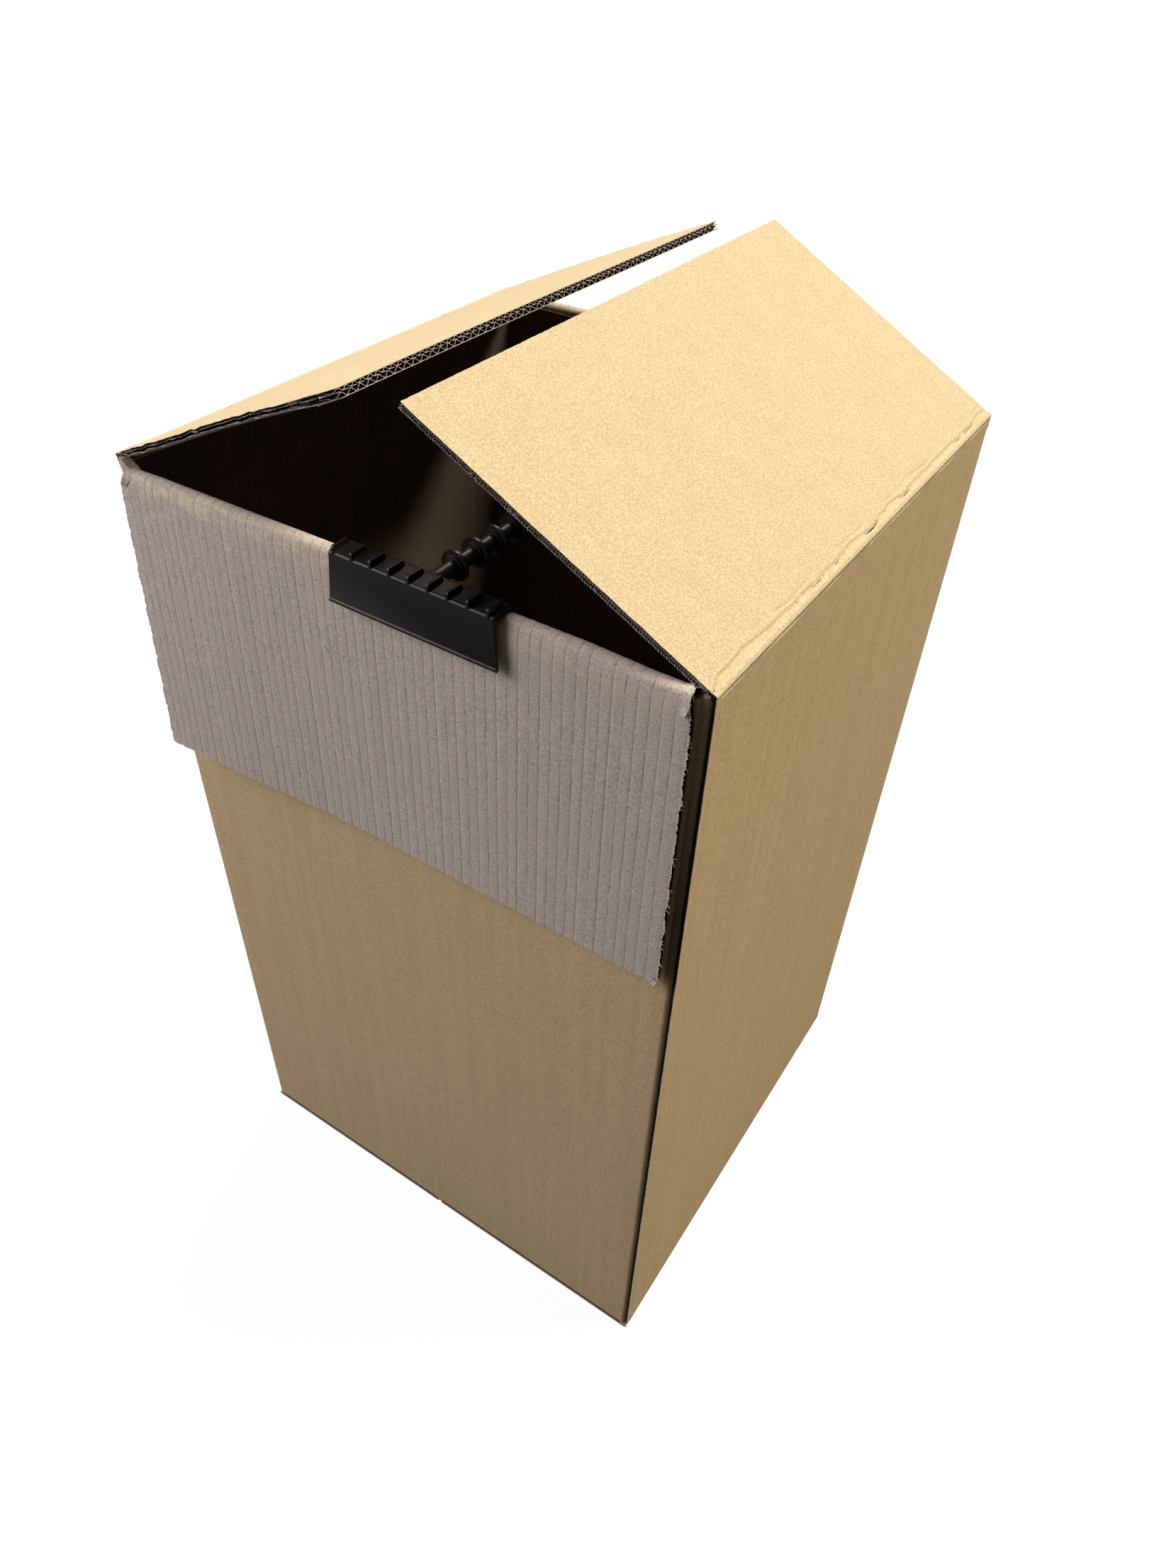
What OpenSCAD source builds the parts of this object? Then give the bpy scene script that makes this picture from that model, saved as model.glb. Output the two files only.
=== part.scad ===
// Tall open shipping carton of double-wall corrugated board, of the kind that
// clothes hang in. One scored and folded sheet makes the walls and all flaps.
// The two end flaps hang folded down outside, the two side flaps lean inwards,
// and a moulded plastic rail hooks over the folded ends to carry hangers.
// The origin is the middle of the footprint on the floor, with +Z up.
// The near end faces -Y and the right side faces +X.

/* [Carton] */
// Outer width, from the left wall to the right wall
carton_w = 457; // [400:1:520]
// Outer length, from the near wall to the far wall
carton_l = 446; // [400:1:520]
// Height of the score lines of the left and right flaps
carton_h = 760; // [500:1:1000]
// Outer radius of the folded vertical corners
corner_r = 4; // [2:0.5:5]
// Outer radius of the folds along the bottom edges
bottom_r = 3; // [1:0.5:3]
// Length of the glued tab inside the right wall
tab_l = 38; // [25:1:50]
// Height that each end of the glued tab is cut back by
tab_taper = 12; // [5:1:20]
// Gap left where two bottom flaps meet
bottom_gap = 4; // [2:1:10]

/* [Board] */
// Thickness of the double-wall board
board = 6; // [5.5:0.1:7]
// Thickness of the board where a slotting knife crushed its edge
crushed = 3.5; // [3:0.1:4.5]
// Thickness of each of the three liners
liner = 0.5; // [0.4:0.05:0.6]
// Thickness of each fluted sheet between the liners
medium = 0.45; // [0.35:0.05:0.6]
// Height of the layer of large flutes, on the inner side
large_flute_h = 2.7; // [2.4:0.1:3]
// Pitch of the large flutes
large_flute = 7.8; // [7:0.1:9]
// Pitch of the small flutes, on the outer side
small_flute = 6.4; // [6:0.1:7]
// Distance from a score to where the crushed flutes open up
score_crush = 12; // [10:1:20]

/* [Side flaps] */
// Length of the left and right flaps, from score to free edge
side_flap_l = 226; // [180:1:240]
// Angle of the left flap above the horizontal
left_angle = 24; // [12:1:85]
// Angle of the right flap above the horizontal
right_angle = 27; // [12:1:85]
// Gap between a side flap's edge and the outer face of the end wall
side_inset = 1.5; // [1:0.5:4]
// Gap between a wall's top and its flap at the score
score_gap = 0.4; // [0.3:0.1:1]

/* [End flaps] */
// Length of the near and far flaps, below their fold
end_flap_l = 222; // [180:1:260]
// Lean of the folded-down flaps away from their walls
end_lean = 2; // [1:0.5:6]
// Inner radius of the fold
fold_r = 0.8; // [0.5:0.1:1.5]
// Distance from a side wall's outer face to an end flap's edge
slot_w = 7; // [7:0.5:12]
// Depth of the corner slots below the side flaps' scores
slot_drop = 10; // [8:1:16]
// Length of the stretch of each fold that the side flap's edge has pressed down
press_l = 34; // [25:1:60]
// Depth that the fold is pressed down at its ends
press_drop = 4; // [3:0.5:4.5]

/* [Hanging rail] */
// Distance of the rail to the right of the middle
rail_x = 36; // [0:1:60]
// Diameter of the bar
bar_d = 10; // [8:0.5:14]
// Depth of the bar's axis below the side flaps' scores
bar_drop = 4.5; // [2:0.5:12]
// Diameter of the discs that keep the hangers apart
disc_d = 20; // [16:0.5:26]
// Thickness of a disc
disc_t = 1.8; // [1.5:0.1:3]
// Number of discs
disc_n = 21; // [9:1:23]
// Distance from an end wall's outer face to the first disc
disc_start = 30; // [24:1:40]
// Diameter of the raised ring on each side of a disc
hub_d = 14; // [12:0.5:15]
// Length of the raised ring
hub_l = 1.2; // [1:0.1:2]
// Wall thickness of the hook's outer plate and inner leg
hook_t = 2.5; // [2:0.1:3]
// Thickness of the bridge over the fold
bridge_t = 4.5; // [3:0.1:5]
// Drop of the hook's outer plate below the top of the fold
plate_drop = 29; // [20:1:45]
// Width that the outer plate gains on each side towards its lower edge
plate_flare = 3; // [1:0.5:5]
// Drop of the hook's inner leg below the top of the fold
leg_drop = 27; // [18:1:40]
// Gap between the folded flap and the outer plate
plate_gap = 3.3; // [0.5:0.1:4]
// Gap between the wall's inner face and the inner leg
leg_gap = 0.5; // [0.3:0.1:1]
// Gap between the fold's top and the hook's bridge
seat_gap = 0.3; // [0.2:0.1:0.6]
// Outer radius of the hook's front corner
front_r = 2; // [1.5:0.5:4]
// Outer radius of the hook's rear corner
rear_r = 8; // [6:0.5:9]
// Number of ribs over each bridge
rib_n = 9; // [5:1:9]
// Pitch of the ribs
rib_pitch = 14.2; // [8:0.1:15]
// Thickness of a rib
rib_t = 1.8; // [1.2:0.1:2.5]
// Width of the hook beyond its outermost ribs
rib_margin = 2.6; // [1:0.1:8]
// Height of a rib above the bridge
rib_h = 4; // [2.5:0.5:5]
// Radius of a rib's front upper corner
rib_r = 1.5; // [0.5:0.5:2.5]
// Length of the slope at a rib's rear end
rib_slope = 2; // [1:0.5:3]
// Diameter of the bead along the outer plate's lower edge
bead_d = 3.4; // [3:0.1:4]

/* [Hidden] */
$fn = 32;

board_brown = [0.68, 0.56, 0.39];
flap_brown = [0.90, 0.80, 0.60];
rail_black = [0.09, 0.09, 0.085];

// Overshoot of a cutting tool past the face that it cuts
over = 1;
// Half sizes of the footprint
half_w = carton_w / 2;
half_l = carton_l / 2;
// Outer radius of an end flap's fold, and the height of the fold's centre
fold_out = fold_r + board;
fold_z = carton_h - fold_out;
// Depth that a fold stands proud of its flap, and how far it runs down into it
fold_step = board / 30;
fold_run = 2.5;
// Depth of the layer of small flutes
small_flute_h = board - 3 * liner - large_flute_h;
// Width over which the crushed edge swells to the full board
crush_run = 4.5;
// Height at which the near and far walls end over the bottom side flaps
end_foot = crushed;
// Clear gap between the glued tab's corner fold and the right wall's raw edge
joint_gap = 1;
// Depth of the grooves between liners along the right wall's raw edge
raw_groove = 3;
// Share of a flute's pitch that its flat tip takes up
flute_tip = 0.12;
// Width that a sloping fluted sheet takes up along a liner
flute_slope = 1.25 * medium;
// Width of the hook at each end of the rail
hook_w = (rib_n - 1) * rib_pitch + rib_t + 2 * rib_margin;
// Depth of a rib over the wall, behind the wall's outer face
rib_reach = board / 4;
// Diameter and length of the cone where the bar meets a hook
root_d = 1.2 * bar_d;
root_l = 3;

// The corner that a radius takes off a square edge, to be cut away
module corner_waste(radius) {
    difference() {
        square(radius + over);
        circle(radius);
    }
}

// Turns an outline drawn in (y, z) into a solid along X, from x = 0
module along_x(length) {
    rotate([90, 0, 90])
        linear_extrude(length)
            children();
}

// Turns an outline drawn in (x, z) into a solid along Y, centred on y = 0
module along_y(length) {
    translate([0, length / 2, 0])
        rotate([90, 0, 0])
            linear_extrude(length)
                children();
}

// Sheet of walls: three folded corners, and the raw edge at the near right
module wall_plan() {
    difference() {
        translate([-half_w, -half_l])
            square([carton_w, carton_l]);
        translate([-half_w + board, -half_l + board])
            square([carton_w - 2 * board, carton_l - 2 * board]);
        for (corner = [[-1, -1], [-1, 1], [1, 1]])
            scale(corner)
                translate([half_w - corner_r, half_l - corner_r])
                    corner_waste(corner_r);
        translate([half_w - board, -half_l])
            joint_waste();
    }
}

// What is open between the near wall's fold and the right wall's raw edge
module joint_waste() {
    translate([0, -over])
        square([board + over, side_inset + over]);
    polygon([[-joint_gap, -over], [board - crushed, -over],
             [board - crushed, side_inset], [0, side_inset + board]]);
    translate([-corner_r, corner_r])
        rotate(-90)
            corner_waste(corner_r);
}

// Tab that continues the near wall and is glued inside the right wall
module glued_tab() {
    low = end_foot + 2 * board;
    high = carton_h - slot_drop - board;
    translate([half_w - 2 * board, -half_l, 0])
        along_x(board)
            polygon([[board / 2, low], [board / 2, high],
                     [board, high], [board + tab_l, high - tab_taper],
                     [board + tab_l, low + tab_taper], [board, low]]);
}

// Grooves between the liners that show along a raw edge cut with the flutes
module raw_edge_grooves() {
    groove = (crushed - 3 * liner) / 2;
    for (layer = [0, 1])
        translate([half_w - crushed + liner + layer * (groove + liner),
                   -half_l + side_inset - over, board])
            cube([groove, over + raw_groove, carton_h - slot_drop - 2 * board]);
}

// Top of a side wall, bevelled at its score line
module side_wall_top() {
    along_y(carton_l)
        polygon([[0, carton_h - slot_drop], [0, carton_h - score_gap],
                 [board, carton_h - score_gap - board],
                 [board, carton_h - slot_drop]]);
}

// Outline of an end wall's top, its fold and its hanging flap, with the
// wall's outer face at 0 and the inside of the carton on the positive side
module end_fold_outline() {
    translate([0, carton_h - slot_drop])
        square([board, fold_z - carton_h + slot_drop]);
    translate([-fold_r, fold_z]) {
        difference() {
            circle(fold_out);
            polygon([[2 * fold_out, 0], [fold_r, 0], [0, fold_r], [-1.5 * fold_r, 0],
                     [-fold_out / 2, 0], [-fold_out / 2, -fold_run],
                     [-2 * fold_out, -fold_run], [-2 * fold_out, -2 * fold_out],
                     [2 * fold_out, -2 * fold_out]]);
        }
        rotate(-end_lean)
            translate([fold_step - fold_out, -end_flap_l])
                square([board, end_flap_l]);
    }
}

// Near or far flap with its fold, pressed down where the side flaps lie on it
module end_flap() {
    width = carton_w - 2 * slot_w;
    translate([-width / 2, -half_l, 0])
        difference() {
            along_x(width)
                end_fold_outline();
            for (side = [0, 1])
                translate([side * width, 0, 0])
                    mirror([side, 0, 0])
                        translate([0, 2 * board, carton_h])
                            rotate([90, 0, 0])
                                linear_extrude(4 * board)
                                    polygon([[-over, -press_drop], [press_l, over],
                                             [-over, over]]);
        }
}

// Bottom flap folded in from a side wall, with its crushed edges
module bottom_side_flap() {
    along_x(half_w - bottom_gap / 2)
        board_section(carton_l);
}

// Bottom flap folded in from an end wall, lying on the side flaps
module bottom_end_flap() {
    width = carton_w - 2 * slot_w;
    translate([-width / 2, -half_l + board / 2, board])
        cube([width, half_l - board / 2 - bottom_gap / 2, board]);
}

// Section across a side flap, face down at 0, with both edges crushed
module board_section(length) {
    edge = length / 2 - side_inset;
    swell = length / 2 - board - over / 2;
    polygon([[-edge, 0], [edge, 0], [edge, crushed], [swell, crushed],
             [swell - crush_run, board], [-swell + crush_run, board],
             [-swell, crushed], [-edge, crushed]]);
}

module carton() {
    color(board_brown)
        difference() {
            union() {
                translate([0, 0, end_foot])
                    linear_extrude(carton_h - slot_drop - end_foot)
                        wall_plan();
                intersection() {
                    linear_extrude(carton_h)
                        wall_plan();
                    for (side = [0, 1])
                        mirror([side, 0, 0])
                            translate([-half_w, 0, 0])
                                side_wall_top();
                }
                glued_tab();
                for (side = [0, 1]) {
                    mirror([side, 0, 0])
                        translate([-half_w, 0, 0])
                            bottom_side_flap();
                    mirror([0, side, 0]) {
                        end_flap();
                        bottom_end_flap();
                    }
                }
            }
            raw_edge_grooves();
            for (side = [0, 1]) {
                mirror([side, 0, 0])
                    translate([-half_w + bottom_r, 0, bottom_r])
                        along_y(carton_l + 2 * over)
                            rotate(180)
                                corner_waste(bottom_r);
                mirror([0, side, 0])
                    translate([-half_w - over, -half_l + bottom_r, end_foot + bottom_r])
                        along_x(carton_w + 2 * over)
                            rotate(180)
                                corner_waste(bottom_r);
            }
        }
}

// Openings of one layer of flutes: the layer less its wavy sheet
module flute_layer(height, pitch, length) {
    count = floor(length / pitch);
    start = -count * pitch / 2;
    tip = flute_tip * pitch;
    foot = tip + flute_slope;
    for (i = [0:count - 1]) {
        x = start + i * pitch;
        polygon([[x + foot, 0], [x + pitch - foot, 0],
                 [x + (pitch + tip) / 2, height - medium],
                 [x + (pitch - tip) / 2, height - medium]]);
        if (i > 0)
            polygon([[x - tip / 2, medium], [x + tip / 2, medium],
                     [x + pitch / 2 - foot, height],
                     [x - pitch / 2 + foot, height]]);
    }
}

// Side flap lying flat: score along Y at x = 0, outer face up at z = 0
module flat_side_flap() {
    flutes_l = carton_l - 2 * (board + over + crush_run);
    difference() {
        intersection() {
            along_x(side_flap_l)
                mirror([0, 1])
                    board_section(carton_l);
            along_y(carton_l)
                polygon([[0, 0], [side_flap_l, 0], [side_flap_l, -board],
                         [board, -board]]);
        }
        translate([score_crush, 0, 0])
            along_x(side_flap_l - score_crush + over) {
                translate([0, -liner - small_flute_h])
                    flute_layer(small_flute_h, small_flute, flutes_l);
                translate([0, -board + liner])
                    flute_layer(large_flute_h, large_flute, flutes_l);
            }
    }
}

module left_flap() {
    color(flap_brown)
        translate([-half_w, 0, carton_h])
            rotate([0, -left_angle, 0])
                flat_side_flap();
}

module right_flap() {
    color(flap_brown)
        mirror([1, 0, 0])
            translate([-half_w, 0, carton_h])
                rotate([0, -right_angle, 0])
                    flat_side_flap();
}

// Hook outline heights and depths, with the wall's outer face at 0
bridge_under = carton_h + seat_gap;
bridge_top = bridge_under + bridge_t;
plate_in = -fold_r - fold_out - plate_gap;
plate_out = plate_in - hook_t;
leg_in = board + leg_gap;
leg_out = leg_in + hook_t;
plate_low = carton_h - plate_drop;
leg_low = carton_h - leg_drop;
plate_top = min(bridge_under, bridge_top - front_r);
plate_lean = (plate_top - plate_low) * tan(end_lean);

// Bridge and inner leg, rounded over the fold
module bridge_outline() {
    difference() {
        translate([plate_out, leg_low])
            square([leg_out - plate_out, bridge_top - leg_low]);
        translate([plate_in, leg_low - over])
            difference() {
                square([leg_in - plate_in, bridge_under - leg_low + over]);
                translate([leg_in - plate_in - rear_r + hook_t,
                           bridge_under - leg_low + over - rear_r + hook_t])
                    corner_waste(rear_r - hook_t);
            }
        translate([leg_out - rear_r, bridge_top - rear_r])
            corner_waste(rear_r);
        translate([plate_out + front_r, bridge_top - front_r])
            rotate(90)
                corner_waste(front_r);
        translate([plate_out - over, leg_low - over])
            square([hook_t + over, plate_top - leg_low + over]);
    }
}

// Outer plate, leaning out with the flap, with a bead along its lower edge
module plate_outline() {
    polygon([[plate_out, plate_top], [plate_in, plate_top],
             [plate_in - plate_lean, plate_low], [plate_out - plate_lean, plate_low]]);
    translate([plate_in - plate_lean - bead_d / 2, plate_low])
        circle(d = bead_d);
}

// Outer plate of one hook, wider at its lower edge than at the bridge
module flared_plate() {
    foot = plate_low - bead_d;
    intersection() {
        translate([-plate_flare - over, 0, 0])
            along_x(hook_w + 2 * (plate_flare + over))
                plate_outline();
        along_y(hook_w)
            polygon([[0, plate_top], [hook_w, plate_top],
                     [hook_w + plate_flare, foot], [-plate_flare, foot]]);
    }
}

// Thin rib from the plate's front over the bridge, sloping down behind
module rib_outline() {
    rib_top = bridge_top + rib_h;
    difference() {
        polygon([[plate_out, plate_top], [plate_out, rib_top],
                 [rib_reach - rib_slope, rib_top], [rib_reach, bridge_top - over],
                 [rib_reach, plate_top]]);
        translate([plate_out + rib_r, rib_top - rib_r])
            rotate(90)
                corner_waste(rib_r);
        translate([plate_in, plate_top - over])
            square([rib_reach - plate_in + over, bridge_under + over - plate_top]);
    }
}

// One end hook, with its ribs
module hook() {
    translate([-hook_w / 2, -half_l, 0]) {
        along_x(hook_w)
            bridge_outline();
        flared_plate();
        for (i = [0:rib_n - 1])
            translate([rib_margin + i * rib_pitch, 0, 0])
                along_x(rib_t)
                    rib_outline();
    }
}

// Disc with a raised ring on each side, centred on y = 0
module disc() {
    rotate([90, 0, 0]) {
        cylinder(h = disc_t, d = disc_d, center = true);
        cylinder(h = disc_t + 2 * hub_l, d = hub_d, center = true);
    }
}

module hanging_rail() {
    bar_z = carton_h - bar_drop;
    bar_l = carton_l - 2 * leg_out;
    disc_pitch = (carton_l - 2 * disc_start) / (disc_n - 1);
    color(rail_black)
        translate([rail_x, 0, 0]) {
            for (side = [0, 1])
                mirror([0, side, 0]) {
                    hook();
                    translate([0, -bar_l / 2 - hook_t / 2, bar_z])
                        rotate([-90, 0, 0])
                            cylinder(h = root_l + hook_t / 2, d1 = root_d, d2 = bar_d);
                }
            translate([0, 0, bar_z]) {
                rotate([90, 0, 0])
                    cylinder(h = bar_l + hook_t, d = bar_d, center = true);
                for (i = [0:disc_n - 1])
                    translate([0, disc_start - half_l + i * disc_pitch, 0])
                        disc();
            }
        }
}

carton();
left_flap();
right_flap();
hanging_rail();
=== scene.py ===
"""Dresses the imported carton: torn and creased double-wall board, and a moulded plastic hanging rail.

Lengths are millimetres until a mesh is made, and metres in materials, lamps and the camera. The
middle of the footprint on the floor is the origin, the near end faces -Y and the right side faces +X.
Board is built of closed sheets of paper. Each sheet is a grid: s runs along the flutes, t across
them, and w is the depth below the outer face.
"""
import math
from collections import namedtuple

import bmesh
import bpy
import numpy as np
from mathutils import Euler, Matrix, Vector


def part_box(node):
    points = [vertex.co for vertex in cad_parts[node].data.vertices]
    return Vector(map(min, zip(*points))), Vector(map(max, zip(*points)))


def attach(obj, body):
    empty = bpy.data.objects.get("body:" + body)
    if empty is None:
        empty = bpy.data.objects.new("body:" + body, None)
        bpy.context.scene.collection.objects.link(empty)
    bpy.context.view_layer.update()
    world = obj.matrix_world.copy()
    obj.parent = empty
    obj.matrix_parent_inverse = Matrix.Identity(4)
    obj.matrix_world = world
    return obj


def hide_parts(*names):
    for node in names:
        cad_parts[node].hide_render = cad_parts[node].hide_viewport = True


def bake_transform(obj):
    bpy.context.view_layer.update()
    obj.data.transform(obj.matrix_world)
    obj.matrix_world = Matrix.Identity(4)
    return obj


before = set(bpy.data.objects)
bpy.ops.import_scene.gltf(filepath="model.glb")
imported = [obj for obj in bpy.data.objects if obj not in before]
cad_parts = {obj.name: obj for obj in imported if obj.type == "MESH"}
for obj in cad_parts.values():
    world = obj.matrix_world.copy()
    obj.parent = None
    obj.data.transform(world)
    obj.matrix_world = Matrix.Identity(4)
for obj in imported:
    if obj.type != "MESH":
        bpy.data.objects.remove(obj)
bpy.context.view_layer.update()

MM = 0.001

# Carton. The right wall's raw edge is crushed to CRUSHED over RAW_DEPTH, and the tab is glued behind it.
HALF_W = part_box("carton")[1].x / MM
HALF_L = 223.0
SCORE_Z = 760.0
SLOT_Z = SCORE_Z - 10
CORNER_R = 4.0
INNER_R = 0.6
SLOT_W = 7.0
FOOT_Z = 3.5
CORNER_RISE = 8.5
RAW_DEPTH = 5.5
TAB_L = 38.0
CRUSHED = 2.6

# Board: the layers' depths below the outer face, the fluted paper's thickness, the pitches of the two
# fluted sheets, and the pitch of the beads that the slotting knife leaves on a cut edge
BOARD = 6.0
OUTER = (0.0, 0.36)
MIDDLE = (2.37, 2.73)
INNER = (5.64, 6.0)
MEDIUM = 0.3
LARGE_FLUTE = 7.8
SMALL_FLUTE = 6.4
BEAD_PITCH = 1.8

# Side flaps. Over EDGE_RUN the free edge is roughened, strands of STRAND_W lie along the side edges,
# and the fluted sheets stop FLUTES_SHORT of them.
FLAP_L = 226.0
FLAP_HALF = HALF_L - 1.5
EDGE_RUN = 14.0
STRAND_W = 5.0
FLUTES_SHORT = 2.5

# The scores' skin reaches from SKIN_LOW on the wall to SKIN_HIGH on the flap. The groove lies below
# the score, and the wall's top stays behind it.
SKIN_LOW = -5.0
SKIN_HIGH = 3.5
GROOVE_DROP = 2.6
BEHIND_GROOVE = 1.6

# Where the side flaps' grids change their spacing: near the score, the free edge and the side edges
BY_SCORE = 18.0
BY_FREE = 212.0
BY_SIDE = 205.0

# End flaps. The fold is squeezed by FOLD_CRUSH of the board, and TORN_W is the side edges' torn strand.
END_L = 223.5
FOLD_R = 0.8
FOLD_Z = SCORE_Z - FOLD_R - BOARD
FOLD_CRUSH = 0.35
END_HALF = HALF_W - SLOT_W
TORN_W = 11.0


def smooth(low, high, x):
    """0 below low, 1 above high, and a smooth rise between them."""
    t = np.clip((x - low) / (high - low), 0, 1)
    return t * t * (3 - 2 * t)


def bell(x, middle, width):
    """1 at the middle, falling off on both sides."""
    return np.exp(-(((x - middle) / width) ** 2))


def wander(x, seed, size):
    """A smooth random wave of x, from about -1 to 1, with bumps about size long."""
    dice = np.random.default_rng(seed)
    total = 0
    for octave in range(4):
        turn = 2 * math.pi * x / (size * 2.2 * 0.57**octave)
        total = total + 0.62**octave * np.sin(turn + dice.uniform(0, 2 * math.pi))
        total = total + 0.45**octave * np.sin(1.37 * turn + dice.uniform(0, 2 * math.pi))
    return total / 2.6


def rough_edge(x, seed, beads, sway):
    """How far a cut edge wanders at x: by beads at an even pitch, and by slow sways."""
    phase = 2 * math.pi * x / BEAD_PITCH + 2 * wander(x, seed, 12)
    fine = 0.6 * np.sin(phase) + 0.5 * wander(x, seed + 1, 0.9)
    return beads * fine + sway * wander(x, seed + 2, 16)


def spans(*runs):
    """Grid lines through runs of (start, end, step), each run ending where the next one starts."""
    lines = [np.linspace(a, b, max(2, round((b - a) / step) + 1))[:-1] for a, b, step in runs]
    return np.append(np.concatenate(lines), runs[-1][1])


def mirrored(*runs):
    """Grid lines from -x to x, from runs that start at 0."""
    half = spans(*runs)
    return np.concatenate([-half[:0:-1], half])


# The four kinds of face: outer liner, inner liner, cut paper, and paper inside the board. The last is
# painted near-black as the shade in the board's hollows and grooves.
FACE, BACK, RAW, PAINTED_SHADE = range(4)


class Paper:
    """Gathers closed sheets of paper into one mesh."""

    def __init__(self):
        self.points = []
        self.faces = []
        self.kinds = []
        self.count = 0

    def sheet(self, near, far, kinds):
        """A closed sheet between two grids of points. kinds: those of its near face, far face and edges."""
        rows, columns = near.shape[:2]
        size = rows * columns
        index = self.count + np.arange(size).reshape(rows, columns)
        corners = index[:-1, :-1], index[:-1, 1:], index[1:, 1:], index[1:, :-1]
        front = np.stack(corners, -1).reshape(-1, 4)
        rim = np.concatenate([index[0, :-1], index[:-1, -1], index[-1, :0:-1], index[:0:-1, 0]])
        after = np.roll(rim, -1)
        edge = np.stack([after, rim, rim + size, after + size], -1)
        faces = np.concatenate([front, front[:, ::-1] + size, edge])
        points = np.concatenate([near.reshape(-1, 3), far.reshape(-1, 3)])
        quads = points[faces - self.count]
        across = np.cross(quads[:, 2] - quads[:, 0], quads[:, 3] - quads[:, 1])
        if ((quads.mean(1) - points.mean(0)) * across).sum() < 0:
            faces = faces[:, ::-1]
        self.points.append(points)
        self.faces.append(faces)
        self.kinds.append(np.repeat(kinds, [len(front), len(front), len(edge)]))
        self.count += 2 * size

    def layer(self, place, s, t, depths, kinds):
        """A liner between two depths, over lines or grids of s and t."""
        if s.ndim == 1:
            s, t = np.meshgrid(s, t, indexing="ij")
        self.sheet(place(s, t, depths[0]), place(s, t, depths[1]), kinds)

    def flutes(self, place, s, start, end, pitch, depths):
        """A fluted sheet that fills the layer between two depths, its crests running along s."""
        steps = 8
        count = round((end - start) / pitch)
        t = np.linspace(start, end, count * steps + 1)
        turn = 2 * math.pi * count * (t - start) / (end - start)
        swing = (depths[1] - depths[0] - MEDIUM) / 2
        w = (depths[0] + depths[1]) / 2 + swing * np.sin(turn) * (1.12 - 0.12 * np.sin(turn) ** 2)
        slope = np.gradient(w, t)
        half = MEDIUM / 2 / np.sqrt(1 + slope**2)
        near = np.meshgrid(s, t + slope * half, indexing="ij")
        far = np.meshgrid(s, t - slope * half, indexing="ij")
        self.sheet(place(*near, w - half), place(*far, w + half), (PAINTED_SHADE, PAINTED_SHADE, RAW))

    def strand(self, place, s, edge, side, depths, kinds, seed, beads, sway, sag):
        """A strip of one layer along a side edge, whose outer border wanders and sags."""
        s, across = np.meshgrid(s, np.linspace(0, 1, 6) ** 1.4 * STRAND_W, indexing="ij")
        loose = 1 - across / STRAND_W
        t = side * (edge - across + rough_edge(s, seed, beads, sway) * loose)
        twist = 0.7 * beads * np.sin(2 * math.pi * s / BEAD_PITCH + 2 * wander(s, seed, 12) + 1.2)
        dip = (sag * wander(s, seed + 5, 12) + twist) * loose**2
        self.sheet(place(s, t, depths[0] + dip), place(s, t, depths[1] + dip), kinds)

    def fibres(self, place, rows, edge, side, depth, seed, count):
        """Thin curled fibres that stick out of a torn side edge."""
        dice = np.random.default_rng(seed)
        share, across = np.meshgrid(np.linspace(0, 1, 6), (-0.12, 0.12), indexing="ij")
        for _ in range(count):
            root, length = dice.uniform(*rows), dice.uniform(1, 3.5)
            bend, rise = dice.uniform(-2.5, 2.5), dice.uniform(-0.5, 1.5)
            s = root + bend * share**2 + across * (1 - 0.8 * share)
            t = side * (edge(root) - 0.6 + length * share)
            w = depth + rise * share**2
            self.sheet(place(s, t, w), place(s, t, w + 0.15), (RAW, RAW, RAW))

    def build(self, name, materials, sharp=35):
        """The mesh as an object, smooth but for edges sharper than that many degrees."""
        mesh = bpy.data.meshes.new(name)
        faces = np.concatenate(self.faces)
        mesh.from_pydata(np.concatenate(self.points) * MM, [], faces.tolist())
        mesh.polygons.foreach_set("material_index", np.concatenate(self.kinds).astype(np.int32))
        for material in materials:
            mesh.materials.append(material)
        mesh.shade_smooth()
        mesh.set_sharp_from_angle(angle=math.radians(sharp))
        piece = bpy.data.objects.new(name, mesh)
        bpy.context.scene.collection.objects.link(piece)
        return piece


def new_material(name, colour, roughness):
    material = bpy.data.materials.new(name)
    material.use_nodes = True
    shader = material.node_tree.nodes["Principled BSDF"]
    shader.inputs["Base Color"].default_value = (*colour, 1)
    shader.inputs["Roughness"].default_value = roughness
    return material


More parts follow.
